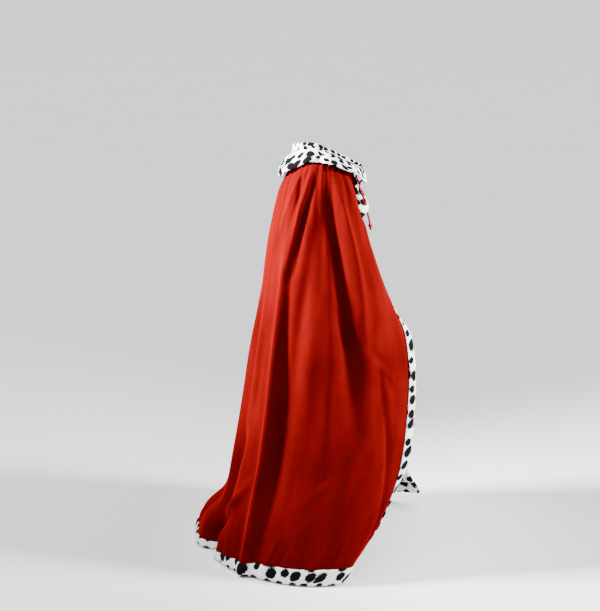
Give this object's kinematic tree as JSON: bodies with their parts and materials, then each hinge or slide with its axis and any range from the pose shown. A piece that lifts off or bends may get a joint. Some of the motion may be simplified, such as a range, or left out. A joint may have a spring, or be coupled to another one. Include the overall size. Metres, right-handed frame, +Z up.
{
  "type": "king robe",
  "caption": "Floor-length velvet cape with a wide spotted plush collar and matching bands on its front edges and hem, tied with a cord at the neck, in its worn form",
  "frame": {"origin": "middle of the neck opening at the collar seam, where the robe is held", "axes": "+X left side of the robe, -Y its front, +Z up"},
  "size_m": [0.4119, 0.4736, 0.7727],
  "materials": {
    "velvet": "deep red polyester velvet with a short pile",
    "plush": "white short-pile plush with dark brown-black spots",
    "cord": "red satin-faced tie cord"
  },
  "bodies": {
    "root": {"velvet_cape": "velvet", "hem_band": "plush", "front_band_left": "plush", "front_band_right": "plush", "collar": "plush", "tie_knot": "cord", "tie_end_left": "cord", "tie_end_right": "cord", "tie_string_left": "cord", "tie_string_right": "cord"}
  },
  "joints": []
}
